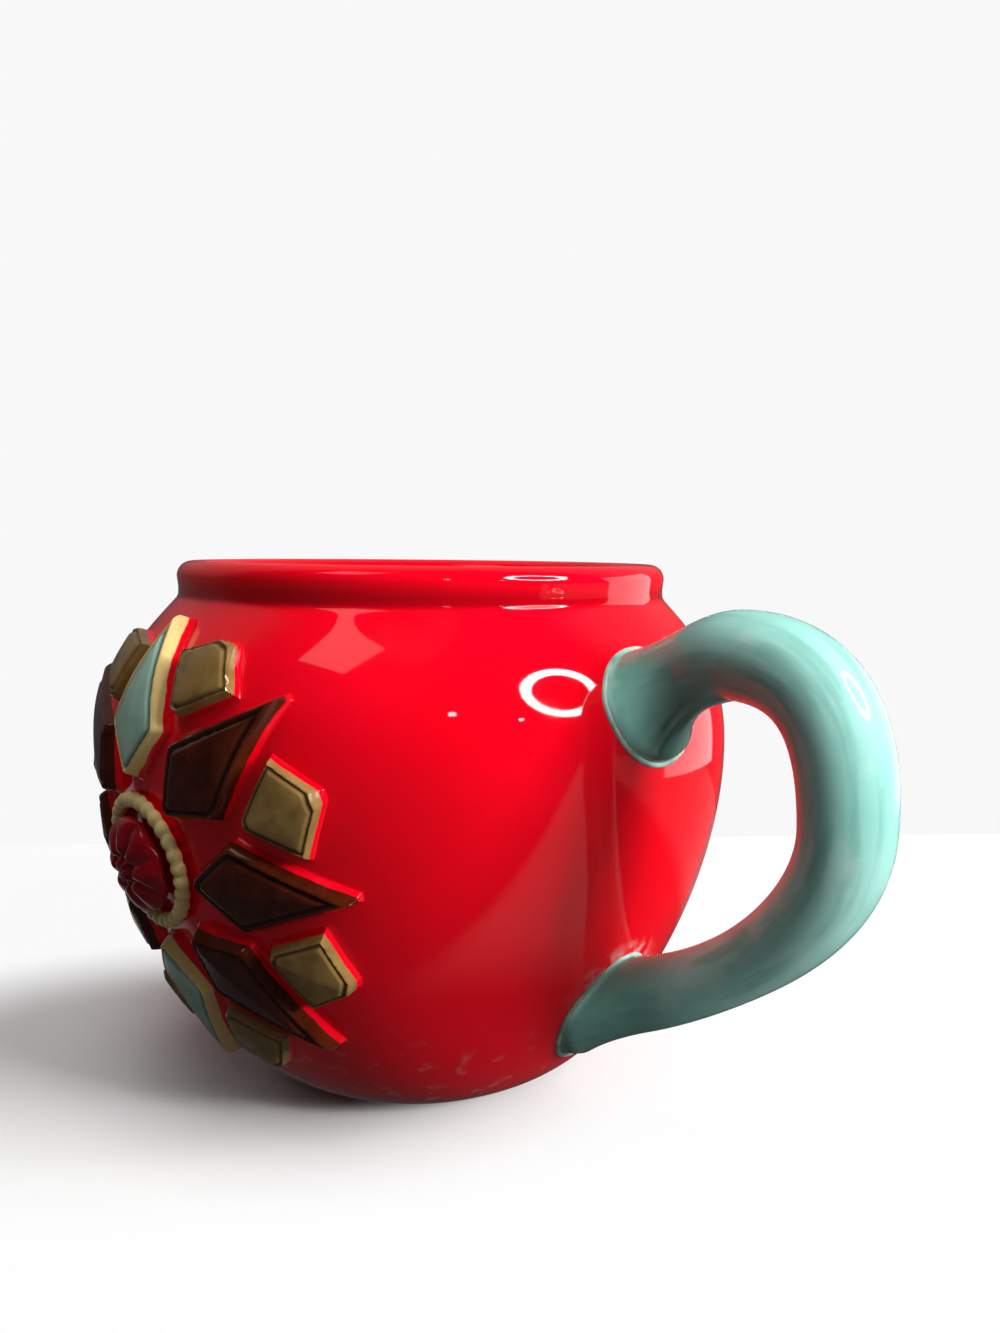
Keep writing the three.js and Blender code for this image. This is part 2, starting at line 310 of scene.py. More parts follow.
def flareRoots(piece, s):
    for i, vertex in enumerate(piece.data.vertices):
        ring = i // s["sides"]
        out = (vertex.co - handleStations[ring][0]).normalized()
        end = "upper" if 2 * ring < len(handleStations) else "lower"
        full = s[end + "Flare"] + (s[end + "TopFlare"] - s[end + "Flare"]) * max(0, out.z)
        vertex.co += out * full * mm * fade(standOff(vertex.co), s["flareReach"] * mm)


# where the flared end meets the wall, one place for each side of the tube
def jointLoop(piece, s, rings):
    loop = []
    for side in range(s["sides"]):
        places = [piece.data.vertices[ring * s["sides"] + side].co for ring in rings]
        heights = [standOff(place) for place in places]
        k = next(i for i, height in enumerate(heights[1:]) if height > 0)
        share = -heights[k] / (heights[k + 1] - heights[k])
        loop.append(places[k].lerp(places[k + 1], share))
    return loop


def wallNormal(place):
    normal = onWall(wallDistance(place.z))[1]
    turn = math.atan2(place.y, place.x)
    return Vector((normal.x * math.cos(turn), normal.x * math.sin(turn), normal.z))


def cutToWall(piece, s):
    skin = [p - outwards(wallLine, i) * s["sunk"] * mm for i, p in enumerate(wallLine)]
    skin = [Vector((0, 0, skin[0].z))] + skin + [Vector((0, 0, skin[-1].z))]
    plug = spinOutline("plug", skin, bodyShape["turnSteps"])
    applyModifier(piece, "BOOLEAN", operation="DIFFERENCE", object=plug, solver="EXACT")
    bpy.data.objects.remove(plug)


# how far each point of a piece stands off the wall in millimetres, for its paint
def keepStandOff(piece):
    mark = piece.data.attributes.new("standOff", "FLOAT", "POINT")
    for vertex, value in zip(piece.data.vertices, mark.data):
        value.value = standOff(vertex.co) / mm


def finderOf(places):
    finder = KDTree(len(places))
    for i, place in enumerate(places):
        finder.insert(place, i)
    finder.balance()
    return finder


# each point's place along and across the handle, shortened along it so that noise makes long brush marks
def keepBrush(piece, s):
    finder = finderOf([station[0] for station in handleStations])
    mark = piece.data.attributes.new("brush", "FLOAT_VECTOR", "POINT")
    for vertex, value in zip(piece.data.vertices, mark.data):
        middle, i = finder.find(vertex.co)[:2]
        way = handleStations[i][1]
        off = vertex.co - middle
        along = i * s["spacing"] * mm + off.dot(way)
        value.vector = (along / s["brushStretch"], off.y, off.dot(Vector((way.z, 0, -way.x))))


# how far each point of the wall is from a joint in millimetres, for its rubbed glaze
def keepJointDistance(piece, loop):
    finder = finderOf(loop)
    mark = piece.data.attributes.new("joint", "FLOAT", "POINT")
    for vertex, value in zip(piece.data.vertices, mark.data):
        value.value = finder.find(vertex.co)[2] / mm


keepStandOff(body)
flareRoots(handle, handleShape)
ringCount = len(handleStations)
rootRings = ringCount // 3  # each joint is in an end third of the handle
upperLoop = jointLoop(handle, handleShape, range(rootRings))
lowerLoop = jointLoop(handle, handleShape, range(ringCount - 1, ringCount - 1 - rootRings, -1))
cutToWall(handle, handleShape)
keepStandOff(handle)
keepBrush(handle, handleShape)
keepJointDistance(body, lowerLoop)
smooth(handle, handleShape["smoothAngle"])
print("handle flared and cut to the wall:", len(handle.data.polygons), "faces")


# slip seams: a ring of bead laid where each end of the handle meets the wall
seamShape = {  # millimetres and degrees
    "width": 0.45, "height": 0.42, "out": 0.25, "sides": 12, "smoothAngle": 60,
}


def makeSeam(loop, s):
    freshStart()
    bpy.ops.mesh.primitive_torus_add(major_segments=len(loop), minor_segments=s["sides"])
    piece = bpy.context.object
    middle = sum(loop, Vector()) / len(loop)
    for i, vertex in enumerate(piece.data.vertices):
        k = i // s["sides"]
        place = loop[k]
        up = wallNormal(place)
        along = loop[(k + 1) % len(loop)] - loop[k - 1]
        out = along.cross(up).normalized()
        out *= 1 if out.dot(place - middle) > 0 else -1
        turn = 2 * math.pi * (i % s["sides"]) / s["sides"]
        sideways = out * (s["out"] + s["width"] * math.cos(turn))
        upwards = up * s["height"] * math.sin(turn)
        vertex.co = place + (sideways + upwards) * mm
    bpy.ops.object.mode_set(mode="EDIT")
    bpy.ops.mesh.select_all(action="SELECT")
    bpy.ops.mesh.normals_make_consistent(inside=False)
    bpy.ops.object.mode_set(mode="OBJECT")
    subdivide(piece, 1)
    smooth(piece, s["smoothAngle"])
    return piece


upperSeam = makeSeam(upperLoop, seamShape)
lowerSeam = makeSeam(lowerLoop, seamShape)
print("slip seams laid")


# relief star: sprigs are made flat, as across, along and rise, then laid on the wall
starShape = {  # millimetres and degrees
    "height": 46, "points": 8, "seat": 0.3, "sunk": 0.5,
    "bossRadius": 7.4, "bossRise": 2.6, "ringGap": 1, "ringTube": 1.3, "sprigGap": 1.6,
    "pointShoulder": 21, "pointReach": 39.5, "gemShoulder": 32.5, "gemReach": 38.5,
    "tip": 1.6, "rise": 2, "slope": 1.8, "ridge": 0.6, "across": 44, "along": 72,
    "pointGroove": 2.4, "gemGroove": 2, "grooveHalf": 0.55, "grooveDepth": 0.45,
    "bossSegments": 128, "bossRings": 48, "petals": 8, "petalDepth": 0.16, "petalGrow": 2.5,
    "budShare": 0.3, "budHalf": 0.12,  # shares of the boss radius
    "beads": 30, "beadDepth": 0.24, "beadSegments": 12, "ringSides": 20, "smoothAngle": 60,
}
starMark = wallDistance(starShape["height"] * mm)


def ease(share):
    share = min(max(share, 0), 1)
    return share * share * (3 - 2 * share)


def layOnWall(piece, turn):
    rise = piece.data.attributes.new("rise", "FLOAT", "POINT")
    for vertex, value in zip(piece.data.vertices, rise.data):
        flat = Matrix.Rotation(-turn, 3, "Z") @ vertex.co
        value.value = flat.z / mm
        place, normal = onWall(starMark + flat.y)
        angle = flat.x / place.x
        lift = flat.z + starShape["seat"] * mm
        radius = place.x + normal.x * lift
        vertex.co = (radius * math.sin(angle), -radius * math.cos(angle), place.z + normal.z * lift)


# close a sprig underneath: its rim goes down into the wall and is filled
def closeUnder(piece):
    pick(piece)
    bpy.ops.object.mode_set(mode="EDIT")
    bpy.ops.mesh.select_all(action="SELECT")
    bpy.ops.mesh.region_to_loop()
    bpy.ops.mesh.extrude_region_move(TRANSFORM_OT_translate={"value": (0, 0, -starShape["sunk"] * mm)})
    bpy.ops.mesh.edge_face_add()
    bpy.ops.mesh.select_all(action="SELECT")
    bpy.ops.mesh.normals_make_consistent(inside=False)
    bpy.ops.object.mode_set(mode="OBJECT")


# a soft notch, 1 in its middle and 0 from its half width on
def notch(distance, half):
    return max(0, 1 - (distance / half) ** 2) ** 2


# a kite from start to reach, widest at its shoulder, with eased sides and a groove along its border
def makeKite(s, start, shoulder, reach, shoulderHalf, groove):
    freshStart()
    bpy.ops.mesh.primitive_grid_add(x_subdivisions=s["across"], y_subdivisions=s["along"], size=2)
    piece = bpy.context.object
    border = piece.data.attributes.new("border", "FLOAT", "POINT")
    tipHalf = s["tip"] / 2
    for vertex, value in zip(piece.data.vertices, border.data):
        across = math.sin(vertex.co.x * math.pi / 2)
        along = start + (math.sin(vertex.co.y * math.pi / 2) + 1) / 2 * (reach - start)
        if along < shoulder:
            half = tipHalf + (shoulderHalf - tipHalf) * (along - start) / (shoulder - start)
        else:
            half = shoulderHalf + (tipHalf - shoulderHalf) * (along - shoulder) / (reach - shoulder)
        margin = min((1 - abs(across)) * half, along - start, reach - along)
        crest = s["rise"] + s["ridge"] * (1 - abs(across))
        low = -s["seat"]
        top = low + (crest - low) * ease(margin / s["slope"])
        top -= s["grooveDepth"] * notch(margin - groove, s["grooveHalf"])
        value.value = margin - groove
        vertex.co = Vector((across * half, along, top)) * mm
    closeUnder(piece)
    return piece


def copyOf(piece):
    pick(piece)
    bpy.ops.object.duplicate()
    return bpy.context.object


def makeBoss(s):
    freshStart()
    bpy.ops.mesh.primitive_uv_sphere_add(segments=s["bossSegments"], ring_count=s["bossRings"],
                                         radius=s["bossRadius"] * mm)
    piece = bpy.context.object
    bpy.ops.object.mode_set(mode="EDIT")
    bpy.ops.mesh.select_all(action="SELECT")
    bpy.ops.mesh.bisect(plane_co=(0, 0, 0), plane_no=(0, 0, 1), clear_inner=True)
    bpy.ops.mesh.select_all(action="SELECT")
    bpy.ops.transform.resize(value=(1, 1, s["bossRise"] / s["bossRadius"]))
    bpy.ops.object.mode_set(mode="OBJECT")
    for vertex in piece.data.vertices:  # petals pressed into the dome
        share = math.hypot(vertex.co.x, vertex.co.y) / (s["bossRadius"] * mm)
        turn = math.atan2(vertex.co.x, vertex.co.y)
        crease = 1 - abs(math.cos(turn * s["petals"] / 2))
        pressed = crease * ease(share * s["petalGrow"]) + notch(share - s["budShare"], s["budHalf"])
        vertex.co.z *= 1 - s["petalDepth"] * pressed
    closeUnder(piece)
    layOnWall(piece, 0)
    return piece


def makeRing(s):
    freshStart()
    middle = (s["bossRadius"] + s["ringGap"] + s["ringTube"]) * mm
    bpy.ops.mesh.primitive_torus_add(major_segments=s["beadSegments"] * s["beads"],
                                     minor_segments=s["ringSides"], major_radius=middle,
                                     minor_radius=s["ringTube"] * mm)
    piece = bpy.context.object
    for vertex in piece.data.vertices:  # pinched between the beads
        turn = math.atan2(vertex.co.y, vertex.co.x)
        heart = Vector((math.cos(turn), math.sin(turn), 0)) * middle
        pinch = s["beadDepth"] * (1 - abs(math.sin(turn * s["beads"] / 2)))
        vertex.co = heart + (vertex.co - heart) * (1 - pinch)
    bpy.ops.object.mode_set(mode="EDIT")
    bpy.ops.transform.translate(value=(0, 0, (s["ringTube"] - s["sunk"]) * mm))
    bpy.ops.object.mode_set(mode="OBJECT")
    layOnWall(piece, 0)
    return piece


boss = makeBoss(starShape)
ring = makeRing(starShape)

# sizes of the sprigs: points a gap apart at their shoulders, and a gem in the notch between two points
halfTurn = math.pi / starShape["points"]
halfGap = starShape["sprigGap"] / 2
ringOuter = starShape["bossRadius"] + starShape["ringGap"] + 2 * starShape["ringTube"]
pointStart = ringOuter + starShape["sprigGap"]
pointHalf = starShape["pointShoulder"] * math.tan(halfTurn) - halfGap / math.cos(halfTurn)
notchTurn = Matrix.Rotation(halfTurn, 2)
notchLow = notchTurn @ Vector((starShape["pointShoulder"], -pointHalf))
notchHigh = notchTurn @ Vector((starShape["pointReach"], -starShape["tip"] / 2))
notchSlope = (notchHigh.y - notchLow.y) / (notchHigh.x - notchLow.x)
notchMargin = starShape["sprigGap"] * math.hypot(1, notchSlope)
gemHalf = notchLow.y + (starShape["gemShoulder"] - notchLow.x) * notchSlope - notchMargin
gemStart = starShape["gemShoulder"] - (gemHalf - starShape["tip"] / 2) / notchSlope
flatPoint = makeKite(starShape, pointStart, starShape["pointShoulder"], starShape["pointReach"],
                     pointHalf, starShape["pointGroove"])
flatGem = makeKite(starShape, gemStart, starShape["gemShoulder"], starShape["gemReach"],
                   gemHalf, starShape["gemGroove"])
points = []
gems = []
for i in range(starShape["points"]):
    for flat, pieces, shift in ((flatPoint, points, 0), (flatGem, gems, halfTurn)):
        piece = copyOf(flat)
        layOnWall(piece, 2 * halfTurn * i + shift)
        smooth(piece, starShape["smoothAngle"])
        pieces.append(piece)
for piece in (boss, ring):
    smooth(piece, starShape["smoothAngle"])
for flat in (flatPoint, flatGem):
    bpy.data.objects.remove(flat)
print("star laid on the wall:", 2 + len(points) + len(gems), "sprigs")


# glazes, painted by place and by each piece's own marks
def addNode(tree, kind, sockets=None, **settings):
    node = tree.nodes.new("ShaderNode" + kind)
    for name, value in settings.items():
        setattr(node, name, value)
    for name, value in (sockets or {}).items():
        node.inputs[name].default_value = value
    return node


def noiseOf(tree, coords, scale, detail):
    noise = addNode(tree, "TexNoise", {"Scale": scale, "Detail": detail})
    tree.links.new(coords, noise.inputs["Vector"])
    return noise.outputs["Fac"]


def spread(tree, value, low, high, lowTo, highTo):
    limits = {"From Min": low, "From Max": high, "To Min": lowTo, "To Max": highTo}
    node = addNode(tree, "MapRange", limits, interpolation_type="SMOOTHSTEP")
    tree.links.new(value, node.inputs["Value"])
    return node.outputs["Result"]


def together(tree, a, b):
    node = addNode(tree, "Math", operation="MULTIPLY")
    tree.links.new(a, node.inputs[0])
    tree.links.new(b, node.inputs[1])
    return node.outputs["Value"]


def larger(tree, a, b):
    node = addNode(tree, "Math", operation="MAXIMUM")
    tree.links.new(a, node.inputs[0])
    tree.links.new(b, node.inputs[1])
    return node.outputs["Value"]


# a Mix node's colours are its sockets 6 and 7, and the mixed colour is its output 2
def paintOver(tree, under, colour, mask):
    node = addNode(tree, "Mix", data_type="RGBA")
    tree.links.new(mask, node.inputs["Factor"])
    tree.links.new(under, node.inputs[6])
    node.inputs[7].default_value = (*colour, 1)
    return node.outputs[2]


def markOf(tree, name, kind="Fac"):
    return addNode(tree, "Attribute", attribute_name=name).outputs[kind]


# patches of noise that fade in over a range
def patchesOf(tree, coords, patch):
    noise = noiseOf(tree, coords, patch["scale"], patch["detail"])
    return spread(tree, noise, patch["from"], patch["to"], 0, patch["strength"])


# a fired glaze: two tones that drift into each other, an even gloss and a faint ripple
glazeGrain = {
    "driftDetail": 3, "glossDetail": 4, "glossFrom": 0.35, "glossTo": 0.7,
    "rippleDetail": 2, "rippleDepth": 0.2,  # millimetres
}


def newGlaze(name, look, rippleMark=None):
    glaze = bpy.data.materials.new(name)
    glaze.use_nodes = True
    tree = glaze.node_tree
    shader = tree.nodes["Principled BSDF"]
    coords = addNode(tree, "TexCoord").outputs["Object"]
    drift = addNode(tree, "ValToRGB")
    drift.color_ramp.elements[0].position = look["from"]
    drift.color_ramp.elements[0].color = (*look["thick"], 1)
    drift.color_ramp.elements[1].position = look["to"]
    drift.color_ramp.elements[1].color = (*look["thin"], 1)
    tones = noiseOf(tree, coords, look["driftScale"], glazeGrain["driftDetail"])
    tree.links.new(tones, drift.inputs["Fac"])
    shine = noiseOf(tree, coords, look["glossScale"], glazeGrain["glossDetail"])
    gloss = spread(tree, shine, glazeGrain["glossFrom"], glazeGrain["glossTo"], *look["gloss"])
    tree.links.new(gloss, shader.inputs["Roughness"])
    depth = glazeGrain["rippleDepth"] * mm
    ripple = addNode(tree, "Bump", {"Strength": look["ripple"], "Distance": depth})
    waves = markOf(tree, rippleMark, "Vector") if rippleMark else coords
    heights = noiseOf(tree, waves, look["rippleScale"], glazeGrain["rippleDetail"])
    tree.links.new(heights, ripple.inputs["Height"])
    tree.links.new(ripple.outputs["Normal"], shader.inputs["Normal"])
    tree.links.new(drift.outputs["Color"], shader.inputs["Base Color"])
    return glaze, tree, shader, coords


def repaint(tree, shader, colour, mask):
    under = shader.inputs["Base Color"].links[0].from_socket
    tree.links.new(paintOver(tree, under, colour, mask), shader.inputs["Base Color"])


# red glaze: painted shade, darker red in the neck's crease; scuffed by the base, worn by the lower joint,
# bare under the foot
redLook = {  # lengths in millimetres
    "thick": (0.84, 0.0, 0.008), "thin": (0.95, 0.0, 0.014), "from": 0.3, "to": 0.62, "driftScale": 28,
    "gloss": (0.03, 0.07), "glossScale": 120, "ripple": 0.05, "rippleScale": 160,
    # painted shade: darker red in the neck's crease and the underside of the lip
    "paintedShade": (0.3, 0.0, 0.004), "paintedShadeStrength": 0.68, "paintedShadeFrom": -0.8, "paintedShadeFull": 0.4,
    "paintedShadeEnd": 1.2, "paintedShadeGone": 3.8,
    "scuff": (0.75, 0.3, 0.28), "scuffFull": 4, "scuffGone": 26,
    "scuffs": {"scale": 260, "detail": 7, "from": 0.56, "to": 0.72, "strength": 0.6},
    "worn": (0.85, 0.5, 0.46), "wornFull": 0.5, "wornGone": 4.5, "wornLow": 23, "wornHigh": 31,
    "wear": {"scale": 380, "detail": 6, "from": 0.42, "to": 0.66, "strength": 0.7},
    "insideTo": -2, "outsideFrom": -0.5, "clay": (0.72, 0.62, 0.5), "clayTo": 0.25, "glazeFrom": 0.5,
}


def makeRedGlaze(look):
    glaze, tree, shader, coords = newGlaze("redGlaze", look)
    place = addNode(tree, "SeparateXYZ")
    tree.links.new(coords, place.inputs["Vector"])
    height = place.outputs["Z"]
    neck = bodyShape["neckHeight"] * mm
    # painted shade: darker red rising into the neck's crease and fading out up the lip
    crease = spread(tree, height, neck + look["paintedShadeFrom"] * mm, neck + look["paintedShadeFull"] * mm,
                    0, look["paintedShadeStrength"])
    lip = spread(tree, height, neck + look["paintedShadeEnd"] * mm, neck + look["paintedShadeGone"] * mm, 1, 0)
    repaint(tree, shader, look["paintedShade"], together(tree, crease, lip))
    outside = spread(tree, markOf(tree, "standOff"), look["insideTo"], look["outsideFrom"], 0, 1)
    base = spread(tree, height, look["scuffFull"] * mm, look["scuffGone"] * mm, 1, 0)
    scuffs = together(tree, patchesOf(tree, coords, look["scuffs"]), base)
    repaint(tree, shader, look["scuff"], together(tree, scuffs, outside))
    joint = spread(tree, markOf(tree, "joint"), look["wornFull"], look["wornGone"], 1, 0)
    above = spread(tree, height, look["wornLow"] * mm, look["wornHigh"] * mm, 0, 1)
    wear = together(tree, together(tree, patchesOf(tree, coords, look["wear"]), joint), above)
    repaint(tree, shader, look["worn"], together(tree, wear, outside))
    bare = spread(tree, height, look["clayTo"] * mm, look["glazeFrom"] * mm, 1, 0)
    repaint(tree, shader, look["clay"], bare)
    return glaze


# turquoise glaze: brushed along the handle, with painted shade darkening it by the wall at the roots,
# paler on the joint's edge
turquoiseLook = {  # lengths in millimetres
    "thick": (0.19, 0.43, 0.38), "thin": (0.29, 0.55, 0.49), "from": 0.32, "to": 0.68, "driftScale": 48,
    "gloss": (0.06, 0.13), "glossScale": 150, "ripple": 0.12, "rippleScale": 170,
    "streak": (0.13, 0.31, 0.26),
    "streaks": {"scale": 420, "detail": 4, "from": 0.46, "to": 0.66, "strength": 0.6},
    "blotch": (0.38, 0.54, 0.5),
    "blotches": {"scale": 130, "detail": 5, "from": 0.56, "to": 0.7, "strength": 0.45},
    # painted shade: darker turquoise at the roots, near the wall
    "paintedShade": (0.06, 0.15, 0.12), "paintedShadeStrength": 0.8, "paintedShadeFull": 1, "paintedShadeGone": 16,
    "edge": (0.38, 0.56, 0.5), "edgeStrength": 0.5, "edgeFull": 0.2, "edgeGone": 1.3,
}


def makeTurquoiseGlaze(look):
    glaze, tree, shader, coords = newGlaze("turquoiseGlaze", look, "brush")
    brushed = markOf(tree, "brush", "Vector")
    repaint(tree, shader, look["streak"], patchesOf(tree, brushed, look["streaks"]))
    repaint(tree, shader, look["blotch"], patchesOf(tree, coords, look["blotches"]))
    off = markOf(tree, "standOff")
    # painted shade at the roots by the wall, then a paler band on the joint's edge
    for layer in ("paintedShade", "edge"):
        mask = spread(tree, off, look[layer + "Full"], look[layer + "Gone"], look[layer + "Strength"], 0)
        repaint(tree, shader, look[layer], mask)
    return glaze


# sprigs: their own colour on top, the mug's red down their sides
sprigLooks = {
    "brownGlaze": {
        "thick": (0.042, 0.004, 0.001), "thin": (0.09, 0.014, 0.003), "line": (0.01, 0.001, 0.0),
    },
    "tanGlaze": {
        "thick": (0.2, 0.115, 0.032), "thin": (0.31, 0.19, 0.062), "line": (0.06, 0.022, 0.007),
    },
    "turquoiseSprig": {
        "thick": (0.3, 0.5, 0.39), "thin": (0.4, 0.6, 0.48), "line": (0.05, 0.09, 0.07),
        "border": (0.76, 0.57, 0.22),
    },
    "deepRedGlaze": {"thick": (0.2, 0.0, 0.004), "thin": (0.34, 0.001, 0.008)},
    "creamGlaze": {"thick": (0.72, 0.5, 0.18), "thin": (0.82, 0.64, 0.28)},
}
sprigFinish = {
    "from": 0.3, "to": 0.7, "driftScale": 260, "gloss": (0.05, 0.12), "glossScale": 200,
    "ripple": 0.12, "rippleScale": 420, "side": (0.8, 0.0, 0.01), "paintFrom": 0.5, "paintTo": 0.75,
    "wander": 0.6, "wanderScale": 300, "wanderDetail": 2, "borderSoft": 0.1, "lineStrength": 0.8,
}


def makeSprigGlaze(name, look):
    look = {**sprigFinish, **look}
    glaze, tree, shader, coords = newGlaze(name, look)
    if "border" in look:
        soft = look["borderSoft"]
        repaint(tree, shader, look["border"], spread(tree, markOf(tree, "border"), -soft, soft, 1, 0))
    if "line" in look:
        half = starShape["grooveHalf"]
        line = together(tree, spread(tree, markOf(tree, "border"), -half, 0, 0, look["lineStrength"]),
                        spread(tree, markOf(tree, "border"), 0, half, 1, 0))
        repaint(tree, shader, look["line"], line)
    wander = addNode(tree, "Math", operation="MULTIPLY_ADD")
    uneven = noiseOf(tree, coords, look["wanderScale"], look["wanderDetail"])
    tree.links.new(uneven, wander.inputs[0])
    wander.inputs[1].default_value = look["wander"]
    tree.links.new(markOf(tree, "rise"), wander.inputs[2])
    low = look["paintFrom"] + look["wander"] / 2
    high = look["paintTo"] + look["wander"] / 2
    repaint(tree, shader, look["side"], spread(tree, wander.outputs["Value"], low, high, 1, 0))
    return glaze


# pale slip of the seams
slipLook = {
    "thick": (0.2, 0.42, 0.36), "thin": (0.48, 0.66, 0.58), "from": 0.35, "to": 0.65, "driftScale": 300,
    "gloss": (0.14, 0.25), "glossScale": 300, "ripple": 0.1, "rippleScale": 500,
}
redGlaze = makeRedGlaze(redLook)
turquoiseGlaze = makeTurquoiseGlaze(turquoiseLook)
paleSlip = newGlaze("paleSlip", slipLook)[0]
sprigGlazes = {name: makeSprigGlaze(name, look) for name, look in sprigLooks.items()}

standFor(body, "mug_body", redGlaze)
standFor(handle, "handle", turquoiseGlaze)
standFor(upperSeam, "upper_slip_seam", paleSlip)
standFor(lowerSeam, "lower_slip_seam", paleSlip)
standFor(boss, "star_boss", sprigGlazes["deepRedGlaze"])
standFor(ring, "star_ring", sprigGlazes["creamGlaze"])
for i, (point, gem) in enumerate(zip(points, gems)):
    if i % (starShape["points"] // 2) == 0:
        standFor(point, f"star_point_{i + 1}", sprigGlazes["turquoiseSprig"])
    else:
        standFor(point, f"star_point_{i + 1}", sprigGlazes["brownGlaze"])
    standFor(gem, f"star_gem_{i + 1}", sprigGlazes["tanGlaze"])
print("glazes painted")


# camera where the photograph was taken from
cameraShape = {  # millimetres and degrees
    "distance": 188.9, "height": 94.03, "turn": -40, "yaw": -4.35, "pitch": 6.69, "roll": 0.62,
    "lens": 36, "film": 36, "clipStart": 5,
}


def addCamera(s):
    turn, yaw, pitch, roll = (math.radians(s[name]) for name in ("turn", "yaw", "pitch", "roll"))
    camera = bpy.data.cameras.new("photoCamera")
    camera.sensor_fit = "HORIZONTAL"
    camera.sensor_width = s["film"]
    camera.lens = s["lens"]
    camera.clip_start = s["clipStart"] * mm
    photoCamera = bpy.data.objects.new("photoCamera", camera)
    bpy.context.scene.collection.objects.link(photoCamera)
    aim = Matrix.Rotation(turn + yaw + math.pi / 2, 4, "Z")
    aim = aim @ Matrix.Rotation(math.pi / 2 - pitch, 4, "X") @ Matrix.Rotation(roll, 4, "Z")
    stand = Vector((s["distance"] * math.cos(turn), s["distance"] * math.sin(turn), s["height"])) * mm
    photoCamera.matrix_world = Matrix.Translation(stand) @ aim
    bpy.context.scene.camera = photoCamera


addCamera(cameraShape)


# floor: ends in a line behind the mug; shaded near it and white further off
floorLook = {  # wide, deep and behind in metres, other lengths in millimetres, turns in degrees
    "wide": 6, "deep": 4, "behind": 0.128, "drop": 0.05,
    "paint": 0.78, "roughness": 0.9, "bounce": 0.1, "mirrored": 0.05,
    "shadeLeft": 40, "shadeNear": 6, "shadeLong": 90, "shadeDeep": 56, "shadedTo": 0.45, "white": 0.92,
    "litTurn": 105, "litFrom": -66, "litTo": -52, "litEnd": 0, "litGone": 20, "litMirrored": 0.4,
    "litInner": 50, "litOuter": 95, "farFrom": 60, "farTo": 90, "farMirrored": 0.22,
}
cameraTurn = math.radians(cameraShape["turn"])
cameraWay = Vector((math.cos(cameraTurn), math.sin(cameraTurn), 0))
cameraSide = Vector((-cameraWay.y, cameraWay.x, 0))


# how white the floor is to look at: not at all in an oval by the mug, where its shadow shows
def floorWhite(tree, place, look):
    middle = (cameraWay * look["shadeNear"] - cameraSide * look["shadeLeft"]) * mm
    size = (look["shadeDeep"] * mm, look["shadeLong"] * mm, 1)
    oval = {"Location": middle, "Rotation": (0, 0, cameraTurn), "Scale": size}
    shade = addNode(tree, "Mapping", oval, vector_type="TEXTURE")
    tree.links.new(place, shade.inputs["Vector"])
    away = addNode(tree, "VectorMath", operation="LENGTH")
    tree.links.new(shade.outputs["Vector"], away.inputs[0])
    return spread(tree, away.outputs["Value"], look["shadedTo"], 1, 0, look["white"])


# how bright the glaze mirrors the floor: dim, with a lit band by the mug and a paler stretch behind it
def floorMirrored(tree, place, look):
    turn = math.radians(look["litTurn"])
    litWay = addNode(tree, "VectorMath", operation="DOT_PRODUCT")
    litWay.inputs[1].default_value = (math.cos(turn), math.sin(turn), 0)
    tree.links.new(place, litWay.inputs[0])
    across = litWay.outputs["Value"]
    radius = addNode(tree, "VectorMath", operation="LENGTH")
    tree.links.new(place, radius.inputs[0])
    near = spread(tree, across, look["litFrom"] * mm, look["litTo"] * mm, 0, look["litMirrored"])
    near = together(tree, near, spread(tree, across, look["litEnd"] * mm, look["litGone"] * mm, 1, 0))
    clear = spread(tree, radius.outputs["Value"], look["litInner"] * mm, look["litOuter"] * mm, 0, 1)
    far = spread(tree, across, look["farFrom"] * mm, look["farTo"] * mm,
                 look["mirrored"], look["farMirrored"])
    return larger(tree, together(tree, near, clear), far)


def makeFloorPaint(look):
    paint = bpy.data.materials.new("floorPaint")
    paint.use_nodes = True
    tree = paint.node_tree
    shader = tree.nodes["Principled BSDF"]
    shader.inputs["Roughness"].default_value = look["roughness"]
    shader.inputs["Specular IOR Level"].default_value = 0
    path = addNode(tree, "LightPath")
    glossy = path.outputs["Is Glossy Ray"]
    seen = larger(tree, path.outputs["Is Camera Ray"], path.outputs["Is Transmission Ray"])
    tone = addNode(tree, "Mix", {"B": look["paint"]})
    tree.links.new(seen, tone.inputs["Factor"])
    tree.links.new(spread(tree, glossy, 0, 1, look["bounce"], 0), tone.inputs["A"])
    tree.links.new(tone.outputs["Result"], shader.inputs["Base Color"])
    place = addNode(tree, "TexCoord").outputs["Object"]
    white = together(tree, seen, floorWhite(tree, place, look))
    mirrored = together(tree, glossy, floorMirrored(tree, place, look))
    glow = addNode(tree, "Emission")
    blend = addNode(tree, "MixShader")
    tree.links.new(larger(tree, white, mirrored), blend.inputs["Fac"])
    tree.links.new(shader.outputs["BSDF"], blend.inputs[1])
    tree.links.new(glow.outputs["Emission"], blend.inputs[2])
    tree.links.new(blend.outputs["Shader"], tree.nodes["Material Output"].inputs["Surface"])
    return paint


def addFloor(look):
    freshStart()
    bpy.ops.mesh.primitive_plane_add(size=1, rotation=(0, 0, cameraTurn))
    floor = bpy.context.object
    floor.name = "floor"
    bpy.ops.object.transform_apply(location=False, rotation=True, scale=False)
    for vertex in floor.data.vertices:
        near = (vertex.co.dot(cameraWay) + 0.5) * look["deep"] - look["behind"]
        vertex.co = cameraWay * near + cameraSide * vertex.co.dot(cameraSide) * look["wide"]
        vertex.co.z = -look["drop"] * mm
    floor.data.materials.append(makeFloorPaint(look))


addFloor(floorLook)


